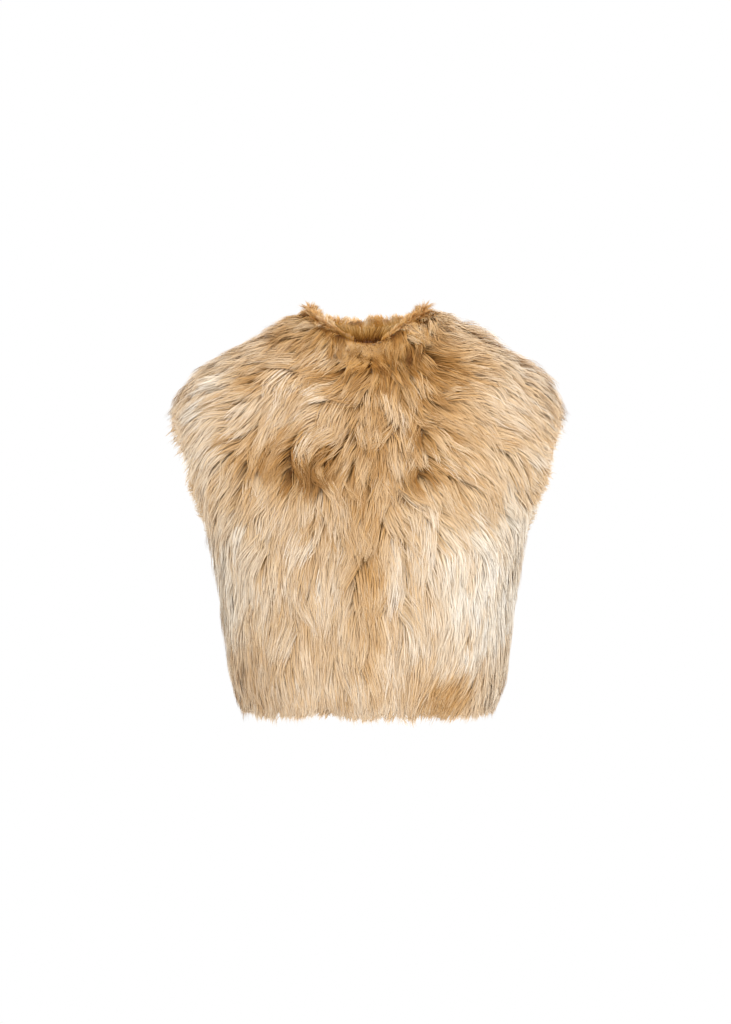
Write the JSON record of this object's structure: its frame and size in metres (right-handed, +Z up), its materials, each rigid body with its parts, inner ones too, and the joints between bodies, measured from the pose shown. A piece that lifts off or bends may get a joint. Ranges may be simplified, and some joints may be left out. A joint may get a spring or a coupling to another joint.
{
  "type": "shearling vest",
  "caption": "Cropped sleeveless vest of long-haired cream and tan shearling, closed right over left, with a low furred stand collar, kept in its worn, hollow form.",
  "frame": {"origin": "midway between the neck ends of the two shoulder seams, on the skin's inner face, where the wearer's shoulders carry the vest", "axes": "+Z up along the body, -Y out of the front, +X towards the wearer's left"},
  "size_m": [0.5162, 0.2755, 0.5436],
  "materials": {
    "fur_cream": "long cream and tan shearling fur on tanned sheepskin",
    "fur_tan": "tan shearling fur on both faces"
  },
  "bodies": {
    "root": {"front_right": "fur_cream", "front_left": "fur_cream", "back_right": "fur_cream", "back_left": "fur_cream", "collar": "fur_tan"}
  },
  "joints": []
}
